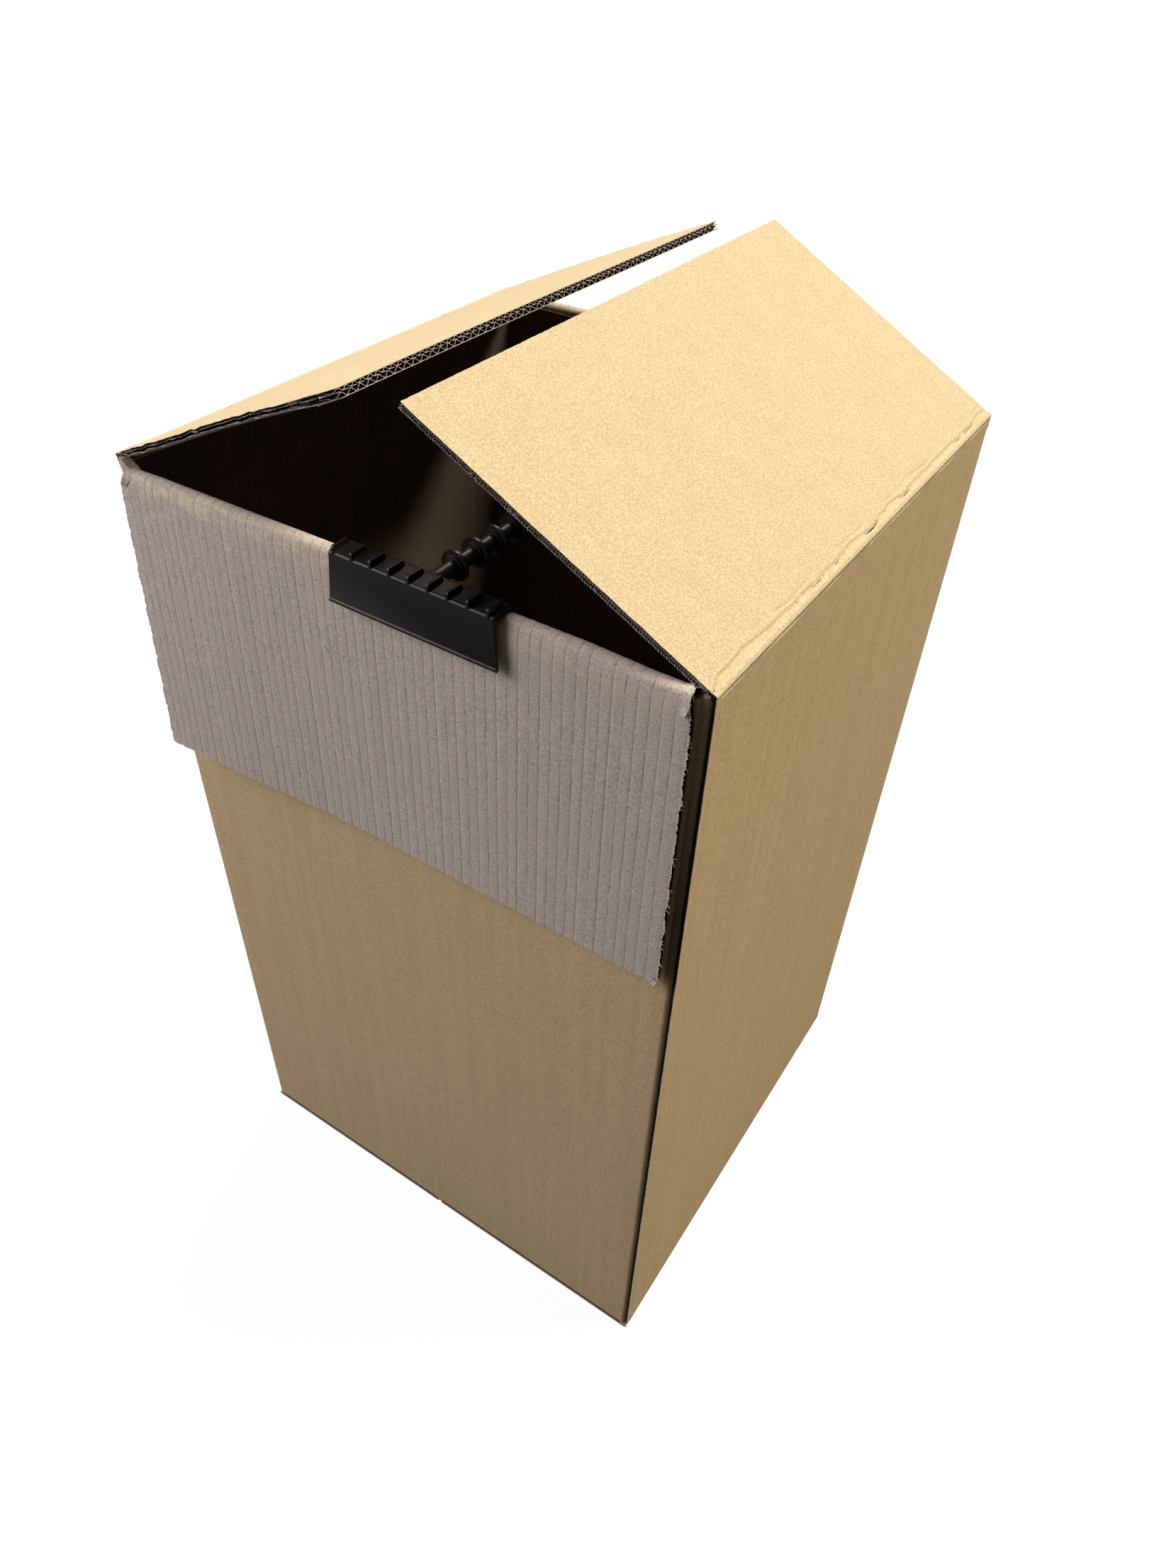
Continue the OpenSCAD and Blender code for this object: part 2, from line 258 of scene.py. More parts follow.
class Nodes:
    """Adds shader nodes to a material or a world, with their links."""

    def __init__(self, owner):
        self.tree = owner.node_tree
        self.shader = self.tree.nodes.get("Principled BSDF")

    def add(self, kind, inputs=(), **settings):
        """A node of that kind. inputs: (socket, value or the socket that feeds it)."""
        node = self.tree.nodes.new(kind)
        for key, value in settings.items():
            setattr(node, key, value)
        for socket, value in inputs:
            self.feed(node.inputs[socket], value)
        return node

    def feed(self, target, value):
        """Sets a socket to a value, or links it to the socket that feeds it."""
        if isinstance(value, bpy.types.NodeSocket):
            self.tree.links.new(value, target)
        else:
            target.default_value = value

    def noise(self, place, per_metre, detail=2, rough=0.5):
        """Noise from 0 to 1, with its number of bumps per metre along X, Y and Z."""
        turned = self.add("ShaderNodeMapping", [("Vector", place), ("Scale", per_metre)])
        spots = [("Vector", turned.outputs[0]), ("Scale", 1), ("Detail", detail), ("Roughness", rough)]
        return self.add("ShaderNodeTexNoise", spots).outputs["Fac"]

    def ranged(self, value, low, high, to_low, to_high):
        """The value's range from low to high, spread over to_low to to_high and held at both ends."""
        names = ("Value", "From Min", "From Max", "To Min", "To Max")
        inputs = list(zip(names, (value, low, high, to_low, to_high)))
        return self.add("ShaderNodeMapRange", inputs).outputs[0]

    def math(self, operation, a, b=0.0):
        return self.add("ShaderNodeMath", [(0, a), (1, b)], operation=operation).outputs[0]

    def product(self, first, *others):
        for other in others:
            first = self.math("MULTIPLY", first, other)
        return first

    def axes(self, place):
        """The X, Y and Z of a place, as three sockets."""
        return self.add("ShaderNodeSeparateXYZ", [("Vector", place)]).outputs

    def mix(self, share, a, b):
        """Colour a, turning into colour b as share goes from 0 to 1."""
        mixer = self.add("ShaderNodeMix", data_type="RGBA")
        for socket, value in (("Factor_Float", share), ("A_Color", a), ("B_Color", b)):
            self.feed(next(i for i in mixer.inputs if i.identifier == socket), value)
        return next(o for o in mixer.outputs if o.identifier == "Result_Color")

    def bump(self, height, depth, strength=1.0):
        """Feeds the shader a bump of that depth in metres."""
        inputs = [("Height", height), ("Distance", depth), ("Strength", strength)]
        bump = self.add("ShaderNodeBump", inputs)
        self.tree.links.new(bump.outputs[0], self.shader.inputs["Normal"])

    def colour(self, socket):
        self.tree.links.new(socket, self.shader.inputs["Base Color"])


def shaded(colour, share):
    """The colour at a share of its brightness, as a socket's value."""
    return (*[share * c for c in colour], 1)


def painted_flute_shade(nodes, place, axis):
    """How dark the painted shade of the large flutes' narrow grooves is, drawn as thin broken lines, from 0
    to 1.
    """
    flutes = nodes.math("MULTIPLY", nodes.axes(place)[axis], 1 / (LARGE_FLUTE * MM))
    off_line = nodes.math("PINGPONG", flutes, 0.5)
    broken = nodes.ranged(nodes.noise(place, (90, 90, 60), 5, 0.8), 0.42, 0.58, 0.1, 1)
    every_other = nodes.ranged(nodes.math("PINGPONG", flutes, 1), 0, 1, 0.55, 0.9)
    return nodes.product(broken, every_other, nodes.ranged(off_line, 0.02, 0.055, 1, 0))


def scuffs(nodes, place):
    """How worn the liner is along an end's fold, from 0 to 1: most towards the left."""
    across, _, height = nodes.axes(place)
    spots = nodes.ranged(nodes.noise(place, (40, 200, 110), 6, 0.85), 0.49, 0.56, 0, 0.9)
    rise, fall = nodes.ranged(height, 0.738, 0.748, 0, 1), nodes.ranged(height, 0.752, 0.758, 1, 0.5)
    return nodes.product(rise, fall, nodes.ranged(across, -0.2, 0.1, 1, 0.4), spots)


def painted_groove_shade(nodes, place):
    """How dark the painted shade in a score's groove is, drawn as a wavy line, from 0 to 1."""
    sway = nodes.ranged(nodes.noise(place, (20, 20, 20), 3), 0.3, 0.7, -0.0005, 0.0005)
    wavy = nodes.math("ADD", nodes.axes(place)["Z"], sway)
    off_line = nodes.math("ABSOLUTE", nodes.math("SUBTRACT", wavy, (SCORE_Z - GROOVE_DROP) * MM))
    return nodes.ranged(off_line, 0.0004, 0.001, 0.8, 0)


def painted_corner_shadow(nodes, place):
    """How much painted shadow of the near flap darkens the near right corner beside it, from 0 to 1: more
    lower down.
    """
    across, along, height = nodes.axes(place)
    return nodes.product(
        nodes.ranged(across, 0.2195, 0.221, 0, 1),
        nodes.ranged(across, 0.2266, 0.2272, 1, 0),
        nodes.ranged(along, -0.21, -0.2, 1, 0),
        nodes.ranged(height, 0.51, 0.54, 0, 1),
        nodes.ranged(height, 0.6, 0.74, 0.75, 0.3),
    )


# Bumps per metre along X, Y and Z: plain grain, grain and streaks that run up the walls, and even spots
FINE_GRAIN = (750, 750, 750)
UPRIGHT_GRAIN = (750, 750, 380)
UPRIGHT = (120, 120, 5)
EVEN = (300, 300, 300)


def liner_material(name, colour, dark, streak, grain=FINE_GRAIN, flecks=0.5, patchy=1.0, lines=None,
                   worn=None, score=False, corner_shadow=False):
    """Kraft paper: fine grain, soft streaks and dark flecks.

    colour and dark are the two tones. streak and grain: bumps per metre along X, Y and Z. flecks: how
    dark the flecks are. patchy: how strong the streaks are. lines: the axis that crosses the flutes, along
    which painted shade draws thin lines over their grooves. worn: the colour of the scuffs along the
    folds. score: whether painted shade darkens the groove below the scores. dirty: whether the near
    flap's painted shadow darkens the corner beside it.
    """
    material = new_material(name, colour, 0.92)
    nodes = Nodes(material)
    place = nodes.add("ShaderNodeTexCoord").outputs["Object"]
    fine = nodes.noise(place, grain, 2, 0.7)
    clouds = nodes.noise(place, (60, 60, 60), 4, 0.65)
    streaks = nodes.noise(place, streak, 3, 0.6)
    tone = nodes.ranged(fine, 0.3, 0.7, -1.0, 2.0)
    tone = nodes.math("ADD", tone, nodes.ranged(clouds, 0.3, 0.7, -0.15 * patchy, 0.15 * patchy))
    tone = nodes.math("ADD", tone, nodes.ranged(streaks, 0.3, 0.7, -0.45 * patchy, 0.45 * patchy))
    body = nodes.mix(tone, (*colour, 1), (*dark, 1))
    if worn:
        body = nodes.mix(scuffs(nodes, place), body, (*worn, 1))
    spots = nodes.ranged(nodes.noise(place, EVEN, 1), 0.72, 0.77, 0, flecks)
    body = nodes.mix(spots, body, shaded(dark, 0.45))
    # Painted shade of the flutes' grooves, drawn as thin lines
    if lines:
        body = nodes.mix(painted_flute_shade(nodes, place, lines), body, shaded(dark, 0.35))
    # Painted shade in the scores' grooves
    if score:
        body = nodes.mix(painted_groove_shade(nodes, place), body, shaded(dark, 0.4))
    # Painted shadow of the near flap on the corner beside it
    if corner_shadow:
        body = nodes.mix(painted_corner_shadow(nodes, place), body, shaded(dark, 0.1))
    nodes.colour(body)
    nodes.bump(fine, 0.00012, 0.6)
    return material


def plastic_material(name):
    """Black moulded plastic with a fine matte grain."""
    material = new_material(name, (0.0135, 0.0115, 0.009), 0.42)
    nodes = Nodes(material)
    nodes.shader.inputs["Specular Tint"].default_value = (1.0, 0.85, 0.7, 1)
    place = nodes.add("ShaderNodeTexCoord").outputs["Object"]
    nodes.bump(nodes.noise(place, (2600, 2600, 2600), 2), 0.00003, 0.5)
    return material


# FLAP_KRAFT carries painted shade in the scores' grooves.
FLAP_KRAFT = liner_material("flap_kraft", (0.745, 0.585, 0.335), (0.595, 0.445, 0.23), (14, 60, 60),
                            flecks=0.2, patchy=0.35, score=True)
# WALL_KRAFT carries the near flap's painted shadow on the corner beside it.
WALL_KRAFT = liner_material("wall_kraft", (0.80, 0.56, 0.275), (0.66, 0.455, 0.212), UPRIGHT,
                            UPRIGHT_GRAIN, flecks=0.4, corner_shadow=True)
# INSIDE and FLAP_INSIDE carry painted shade of the flutes' grooves, drawn as thin lines.
INSIDE = liner_material("inner_liner", (0.765, 0.62, 0.46), (0.58, 0.465, 0.345), UPRIGHT,
                        flecks=0.6, patchy=0.6, lines="X", worn=(0.88, 0.70, 0.40))
# Painted shade: the walls' inner liner, the same paper as INSIDE, painted about a third as bright for the
# shade inside the carton
WALL_INSIDE_PAINTED_SHADE = liner_material("wall_inside_painted_shade", (0.27, 0.19, 0.12), (0.21, 0.145, 0.09), UPRIGHT, flecks=0.4)
FLAP_INSIDE = liner_material("flap_inside", (0.66, 0.54, 0.40), (0.53, 0.43, 0.32), (5, 70, 70), lines="Y")
CUT = liner_material("cut_paper", (0.74, 0.62, 0.48), (0.50, 0.40, 0.30), EVEN, flecks=0.3)
# Painted shade: the paper inside the board, painted near-black for the shade in its hollows and grooves
HOLLOW_PAINTED_SHADE = liner_material("board_inside_painted_shade", (0.035, 0.025, 0.018), (0.024, 0.018, 0.013), EVEN, flecks=0.2)
BLACK = plastic_material("rail_plastic")

BOARD_SLOTS = (WALL_KRAFT, INSIDE, CUT, HOLLOW_PAINTED_SHADE)
WALL_SLOTS = (WALL_KRAFT, WALL_INSIDE_PAINTED_SHADE, CUT, HOLLOW_PAINTED_SHADE)
FLAP_SLOTS = (FLAP_KRAFT, FLAP_INSIDE, CUT, HOLLOW_PAINTED_SHADE)


# Side flaps. curl lifts a flap, trim is how far its free edge falls short, push moves its score out,
# sway is how far its side edges wander, and pressed is how much they are crushed.
Flap = namedtuple("Flap", "body side angle seed curl trim push sway pressed")


def pressed_left(s):
    """The left flap's side edges are crushed, but open out towards its free edge."""
    return 1 - smooth(185, BY_FREE, s)


LEFT = Flap(
    body="left_flap",
    side=-1,
    angle=math.radians(24),
    seed=11,
    curl=lambda s, t: (2 + 3.2 * smooth(230, -160, t)) * np.sin(math.pi * s / 300)
    - 1.2 * smooth(-200, -221, t) * smooth(0, 80, s) * pressed_left(s),
    trim=lambda t: 8.5 * smooth(-214, -222, t),
    push=lambda t: 2.2 * smooth(-185, -222, t),
    sway=2.0,
    pressed=pressed_left,
)
RIGHT = Flap(
    body="right_flap",
    side=1,
    angle=math.radians(27),
    seed=12,
    curl=lambda s, t: 0.5 * (s / FLAP_L) ** 3,
    trim=np.zeros_like,
    push=np.zeros_like,
    sway=0.15,
    pressed=np.ones_like,
)


def crease(c, y, seed):
    """Height of a score's creases above the outer face. c: below 0 on the wall, above 0 on the flap.

    A bulge rolls over the score, a groove lies under it, and one or two lines wander over the flap.
    All of them grow faint at the side edges.
    """
    roll = bell(c, 2.2, 1.9)
    under = bell(c, -GROOVE_DROP + 0.4 * wander(y, seed, 40), 0.6)
    away = 3 * bell(y, -186, 20) - 3.5 * smooth(-203, -222, y)
    first = 1.3 * bell(c, 6.2 + away + 1.4 * wander(y, seed + 1, 38), 0.9)
    strength = smooth(-0.4, 0.4, wander(y, seed + 2, 70))
    second = 0.7 * strength * bell(c, 10.5 + away + 1.4 * wander(y, seed + 3, 60), 1.0)
    faint = 0.7 * smooth(FLAP_HALF - 9.5, FLAP_HALF, np.abs(y))
    return (roll - under - first - second) * (1 - faint)


def flap_place(flap):
    """Where a point of a side flap lies."""
    cos, sin = math.cos(flap.angle), math.sin(flap.angle)

    def place(s, t, w):
        crushed = smooth(FLAP_HALF - 6, FLAP_HALF - 1, np.abs(t)) * flap.pressed(s)
        scored = 1 - smooth(4, 14, s)
        down = w * (1 - 0.32 * crushed) * (1 - (0.2 + 0.3 * crushed) * scored)
        down = down - crease(s, t, flap.seed) * (1 - w / BOARD) - flap.curl(s, t)
        down = down + 0.25 * flap.sway * wander(s, flap.seed + 3, 10) * crushed
        along = s + w * np.clip(1 - s / 12, 0, 1)
        pushed = flap.push(t) * (1 - smooth(0, 60, s))
        x = flap.side * (HALF_W + pushed - along * cos - down * sin)
        return np.stack(np.broadcast_arrays(x, t, SCORE_Z + along * sin - down * cos), -1)

    return place


def side_flap(flap):
    """A side flap from its score to its free edge."""
    place = flap_place(flap)
    paper = Paper()

    def cut(s, t, pull, nibble):
        """Pulls a grid's outer lines back to the cut edges, and roughens them."""
        s, t = np.meshgrid(s, t, indexing="ij")
        free = smooth(FLAP_L - EDGE_RUN, FLAP_L, s)
        ends = smooth(FLAP_HALF - 5, FLAP_HALF, np.abs(t))
        rough = nibble * (1 + wander(t, flap.seed + 10 * pull, 3.5))
        side_rough = 0.5 * pull + nibble + rough_edge(s, flap.seed + 20 * pull, nibble, flap.sway)
        return s - free * (flap.trim(t) + pull + rough), t - np.sign(t) * ends * side_rough

    rows = spans((SKIN_HIGH, BY_SCORE, 0.6), (BY_SCORE, BY_FREE, 5), (BY_FREE, FLAP_L, 2))
    columns = mirrored((0, BY_SIDE, 2.8), (BY_SIDE, FLAP_HALF, 1.5))
    paper.layer(place, *cut(rows, columns, 0, 0.2), OUTER, (FACE, PAINTED_SHADE, RAW))
    rows = spans((0, BY_SCORE, 3), (BY_SCORE, BY_FREE, 5), (BY_FREE, FLAP_L, 2))
    paper.layer(place, *cut(rows, columns, 0, 0.3), INNER, (PAINTED_SHADE, BACK, RAW))
    columns = mirrored((0, BY_SIDE, 4), (BY_SIDE, FLAP_HALF - 4, 2))
    paper.layer(place, *cut(rows, columns, 1, 0.2), MIDDLE, (PAINTED_SHADE, PAINTED_SHADE, RAW))

    # Strands along both side edges, where the slotting knife pressed the layers together
    def trimmed(s, t, w):
        return place(s - flap.trim(t) * smooth(FLAP_L - EDGE_RUN, FLAP_L, s), t, w)

    dense = spans((2, FLAP_L - 0.5, BEAD_PITCH / 4))
    under = (INNER[0] - 0.12, INNER[1] + 0.12)
    for end in (-1, 1):
        seed = flap.seed + 31 + 9 * end
        paper.strand(trimmed, dense, FLAP_HALF - 0.3, end, MIDDLE, (RAW, PAINTED_SHADE, RAW), seed,
                     beads=0.55, sway=flap.sway, sag=0.5)
        paper.strand(trimmed, dense, FLAP_HALF - 0.1, end, under, (RAW, BACK, RAW), seed + 60,
                     beads=0.5, sway=flap.sway, sag=0.3)
        paper.fibres(trimmed, (5, FLAP_L - 8), lambda s: FLAP_HALF, end, MIDDLE[0], seed + 90, 14)

    # Fluted sheets, open at the free edge
    reach = FLAP_HALF - FLUTES_SHORT
    lines = spans((12, 206, 60), (206, FLAP_L - 0.4, 5))
    paper.flutes(trimmed, lines, -reach, reach, SMALL_FLUTE, (OUTER[1], MIDDLE[0]))
    paper.flutes(trimmed, lines, -reach, reach, LARGE_FLUTE, (MIDDLE[1], INNER[0]))

    piece = paper.build(flap.body + "_board", FLAP_SLOTS)
    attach(piece, flap.body)
    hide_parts(flap.body)


def crease_skin(flap):
    """The outer liner round a score, from the wall to the flap."""
    side, cos, sin = flap.side, math.cos(flap.angle), math.sin(flap.angle)
    c, t = np.meshgrid(spans((SKIN_LOW, SKIN_HIGH, 0.25)), mirrored((0, FLAP_HALF, 1.8)), indexing="ij")
    share = smooth(-1.5, 1.5, c)[..., None]
    low_push = flap.push(t) * (1 + c / (SCORE_Z - SLOT_Z))

    def place(w):
        out = crease(c, t, flap.seed) * (1 - w / BOARD) - w
        on_wall = np.stack([side * (HALF_W + low_push + out), t, SCORE_Z + c], -1)
        x = HALF_W + flap.push(t) - c * cos + out * sin
        on_flap = np.stack([side * x, t, SCORE_Z + c * sin + out * cos], -1)
        return on_wall * (1 - share) + on_flap * share

    paper = Paper()
    paper.sheet(place(0), place(OUTER[1]), (FACE, RAW, RAW))
    piece = paper.build(flap.body.replace("flap", "crease"), FLAP_SLOTS)
    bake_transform(piece)


for flap in (LEFT, RIGHT):
    side_flap(flap)
    crease_skin(flap)


# End flaps, folded down outside: their lean in degrees and the height of their fold, at places across
LEAN_AT = (-221, -145, -102, -60, -20, 57, 221)
LEAN = (3.0, 2.3, 1.5, 0.9, 0.7, 0.6, 0.7)
CREST_AT = (-221, -190, -130, -50, -24, 95, 99, 150, 190, 221)
CREST = (754.5, 756.3, 757.6, 759.3, 760, 760, 762.3, 763, 762, 762.5)


def washboard(x):
    """Depth of the narrow grooves that the large flutes leave in the inner liner."""
    flute = np.round(x / LARGE_FLUTE)
    deep = 0.13 + 0.06 * np.cos(math.pi * flute) + 0.05 * np.sin(2.3 * flute + 1)
    hollow = 0.03 * (1 + np.cos(2 * math.pi * x / LARGE_FLUTE))
    return deep * bell(x, flute * LARGE_FLUTE, 0.5) + hollow


def end_place(end):
    """Where a point of an end strip lies. s is 0 at the slots' foot, and runs up over the fold and down."""
    up = FOLD_Z - SLOT_Z
    arc = math.pi * (FOLD_R + BOARD / 2)
    crest = up + arc / 2

    def place(s, x, w):
        lean = np.radians(np.interp(x, LEAN_AT, LEAN))
        turn = np.clip((s - up) / arc, 0, 1) * (math.pi - lean)
        rise = np.minimum(s - up, 0)
        drop = np.maximum(s - up - arc, 0)
        w = w - washboard(x) * np.clip((w - INNER[0]) / (INNER[1] - INNER[0]), 0, 1)
        reach = FOLD_R + w * (1 - FOLD_CRUSH * bell(s, crest, 7))
        y = -FOLD_R + reach * np.cos(turn) - drop * np.sin(lean)
        z = FOLD_Z + rise + reach * np.sin(turn) - drop * np.cos(lean)
        lift = np.interp(x, CREST_AT, CREST) - SCORE_Z + FOLD_CRUSH * BOARD
        share = np.where(s > crest, 1 - 0.5 * smooth(0, 200, drop), smooth(0, 8, z - SLOT_Z + 1))
        return np.stack(np.broadcast_arrays(x, end * (HALF_L - y), z + lift * share), -1)

    return place, crest, up + arc


def end_strip(name, end, seed):
    """An end wall's top, its fold and its flap, as layers of paper."""
    place, crest, flap_from = end_place(end)
    last = flap_from + END_L
    paper = Paper()

    def edge(s, side):
        """Distance of a side edge from the middle: least at the fold."""
        return END_HALF - 1.5 - (4.5 - 1.5 * side) * bell(s, crest, 12 + 3 * side)

    # Inner liner: a grid that follows the flutes, then a torn strand along each side
    by_fold, below_fold = flap_from + 6, flap_from + 26
    rows = spans((0, 3.2, 1.6), (3.2, by_fold, 0.9), (by_fold, below_fold, 3), (below_fold, last, 8))
    groove = np.array([0, 0.35, 0.8, 1.7, 3.9, 6.1, 7.0, 7.45])
    first = round(-END_HALF / LARGE_FLUTE)
    columns = ((first + np.arange(2 * abs(first)))[:, None] * LARGE_FLUTE + groove).ravel()
    inner_half = END_HALF - TORN_W
    columns = columns[np.abs(columns) < inner_half - 0.3]
    columns = np.concatenate([[-inner_half], columns, [inner_half]])
    s, x = np.meshgrid(rows, columns, indexing="ij")
    s = s + smooth(last - 10, last, s) * 0.4 * wander(x, seed + 1, 6)
    paper.layer(place, s, x, INNER, (PAINTED_SHADE, BACK, RAW))
    dense = spans((0, last, 0.8))
    for side in (-1, 1):
        strip_w = edge(dense, side) - inner_half
        s, share = np.meshgrid(dense, np.linspace(0, 1, 9) ** 1.4, indexing="ij")
        nicks = 0.8 * np.minimum(wander(s, seed + 7 * side + 9, 4), 0)
        wave = rough_edge(s, seed + 3 * side, 0.55, 0.7) + nicks
        x = side * (edge(s, side) - share * strip_w[:, None] + wave * (1 - share))
        s = s + smooth(last - 10, last, s) * 0.4 * wander(x, seed + 1, 6)
        paper.layer(place, s, x, INNER, (PAINTED_SHADE, BACK, RAW))
        paper.fibres(place, (flap_from, last - 2), lambda s: edge(s, side), side, INNER[1] - 0.3,
                     seed + 20 + side, 26)

    # Outer and middle liners, and the flutes that show at the free edge
    rows = spans((0, 3.2, 3.2), (3.2, flap_from, 0.9), (flap_from, last - 0.8, 12))
    for depths, short, kinds in ((OUTER, 1, (FACE, PAINTED_SHADE, RAW)), (MIDDLE, 2.4, (PAINTED_SHADE, PAINTED_SHADE, RAW))):
        s, share = np.meshgrid(rows, np.linspace(0, 1, 75), indexing="ij")
        x = (edge(s, 1) - short) * share - (edge(s, -1) - short) * (1 - share)
        paper.layer(place, s, x, depths, kinds)
    lines = spans((last - 40, last - 0.6, 20))
    for pitch, depths in ((SMALL_FLUTE, (OUTER[1], MIDDLE[0])), (LARGE_FLUTE, (MIDDLE[1], INNER[0]))):
        paper.flutes(place, lines, -END_HALF + 6, END_HALF - 6, pitch, depths)

    # Torn flakes, curled away from the corners: (rows, distances from the side edge), lift and side
    for run, reach, lift, side in (
        ((crest - 2, flap_from + 9), (-7, 0.5), 2.4, 1),
        ((last - 6, last + 0.5), (-5, 0), 0.9, 1),
        ((crest - 3, flap_from + 5), (-6, 0.5), 1.8, -1),
    ):
        s, share = np.meshgrid(np.linspace(*run, 8), np.linspace(0, 1, 7), indexing="ij")
        along = (s - run[0]) / (run[1] - run[0])
        narrow = 0.35 + 0.65 * np.sin(math.pi * np.clip(along * 0.8 + 0.1, 0, 1))
        out = reach[0] * (1 - share * narrow) + reach[1] * share + 0.4 * wander(s, seed + 30, 3)
        x = side * (edge(s, side) + out)
        w = INNER[1] + 0.15 + lift * share**2 * (0.4 + 0.6 * along)
        paper.sheet(place(s, x, w), place(s, x, w + 0.3), (RAW, RAW, RAW))

    piece = paper.build(name, BOARD_SLOTS)
    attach(piece, "carton")
    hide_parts("carton")


end_strip("near_end_flap", -1, 41)
end_strip("far_end_flap", 1, 42)


# Walls: one band of board from the right wall's raw edge round to the glued tab
def wall_band():
    """Outer and inner outline of the walls in plan, point by point, and where the glued tab starts."""
    outer, inner = [], []
    step = BOARD - CORNER_R + INNER_R

    def run(start, end, inner_start, inner_end, count=40):
        for share in np.linspace(0, 1, count):
            outer.append(np.array(start) * (1 - share) + np.array(end) * share)
            inner.append(np.array(inner_start) * (1 - share) + np.array(inner_end) * share)

    def corner(centre, start):
        """A folded corner about a centre, from the start angle in degrees."""
        inner_centre = np.array(centre) - np.sign(centre) * step
        for angle in np.radians(np.linspace(start, start + 90, 9)[1:-1]):
            direction = np.array([math.cos(angle), math.sin(angle)])
            outer.append(np.array(centre) + CORNER_R * direction)
            inner.append(inner_centre + INNER_R * direction)

    w, l = HALF_W, HALF_L
    cw, cl = w - CORNER_R, l - CORNER_R
    iw, il = w - BOARD, l - BOARD
    iw_end, il_end = cw - step, cl - step
    raw = RAW_DEPTH - FLAP_HALF
    run((w, raw), (w, cl), (iw, raw), (iw, il_end))
    corner((cw, cl), 0)
    run((cw, l), (-cw, l), (iw_end, il), (-iw_end, il))
    corner((-cw, cl), 90)
    run((-w, cl), (-w, -cl), (-iw, il_end), (-iw, -il_end))
    corner((-cw, -cl), 180)
    tab_x = w - CRUSHED - CORNER_R
    run((-cw, -l), (tab_x, -l), (-iw_end, -il), (tab_x - step, -il))
    tab_from = len(outer)
    corner((tab_x, -cl), 270)
    tab_end = TAB_L + BOARD - l
    tab_out = tab_x + CORNER_R
    run((tab_out, -cl), (iw, tab_end), (tab_out - BOARD, -il_end), (iw - BOARD, tab_end), 8)
    return np.array(outer), np.array(inner), tab_from


def raw_edge(paper):
    """The right wall's raw edge: its liners stand apart, their inner sheets painted near-black as shade."""
    start = -FLAP_HALF
    rows = spans((BOARD, SCORE_Z - 1.5, BEAD_PITCH / 3))
    faces = (FACE, PAINTED_SHADE, RAW), (PAINTED_SHADE, PAINTED_SHADE, PAINTED_SHADE), (PAINTED_SHADE, PAINTED_SHADE, PAINTED_SHADE)
    for number, (depth, pull) in enumerate(((0.0, 0.0), (1.05, 0.9), (2.1, 0.5))):
        z, share = np.meshgrid(rows, np.linspace(0, 1, 4), indexing="ij")
        wave = rough_edge(z, 51 + number, 0.3, 0.15) * (1 - share)
        y = start + pull + (RAW_DEPTH + 0.1 - pull) * share + wave
        swell = 1 + (BOARD / CRUSHED - 1) * share
        sway = 0.2 * wander(z, 55 + number, 20) * (1 - share) if depth else 0 * z
        near = np.stack([HALF_W - (depth + sway) * swell, y, z], -1)
        far = np.stack([HALF_W - (depth + 0.5 + sway) * swell, y, z], -1)
        paper.sheet(near, far, faces[number])


def side_wall_tops(paper):
    """The tops of the side walls, up to their scores. Their upper part lies behind the scores' skin."""
    skin_from = 0.54
    for flap, start in ((LEFT, 0), (RIGHT, RAW_DEPTH)):
        along = np.linspace(start - FLAP_HALF, FLAP_HALF, 75)
        share, y = np.meshgrid((0.0, skin_from, skin_from + 0.06, 1.0), along, indexing="ij")
        pushed = HALF_W + flap.push(y) * share
        outer_z = SLOT_Z + share * (SCORE_Z - 0.7 - SLOT_Z)
        inner_z = SLOT_Z + share * (SCORE_Z - 0.6 - BOARD - SLOT_Z)
        near = np.stack([flap.side * (pushed - BEHIND_GROOVE * (share > skin_from)), y, outer_z], -1)
        far = np.stack([flap.side * (pushed - BOARD), y, inner_z], -1)
        paper.sheet(near, far, (FACE, BACK, RAW))


def bottom_flaps(paper):
    """The bottom flaps, shut: the side ones underneath, the end ones lying on them."""
    bend_r, gap = 3.0, 2.0
    angle = np.linspace(math.pi / 2, 0, 7)
    floor_x = np.linspace(HALF_W - 8, gap, 12)
    x = np.concatenate([[HALF_W], HALF_W - bend_r + bend_r * np.sin(angle), floor_x])[:, None]
    z = np.concatenate([[FOOT_Z], bend_r - bend_r * np.cos(angle), 0 * floor_x])[:, None]
    inner_x = np.concatenate([HALF_W - BOARD - 0.1 * np.arange(8), floor_x])[:, None]
    y = mirrored((0, HALF_L, 8))
    for side in (-1, 1):
        near = np.stack(np.broadcast_arrays(side * x, y, z), -1)
        far = np.stack(np.broadcast_arrays(side * inner_x, y, BOARD), -1)
        paper.sheet(near, far, (FACE, BACK, RAW))
    x, y = np.meshgrid(mirrored((0, END_HALF, 8)), (gap, 60.0, 120.0, HALF_L - BOARD / 2), indexing="ij")
    for end in (-1, 1):
        near = np.stack(np.broadcast_arrays(x, end * y, BOARD), -1)
        far = np.stack(np.broadcast_arrays(x, end * y, 2 * BOARD), -1)
        paper.sheet(near, far, (FACE, BACK, RAW))


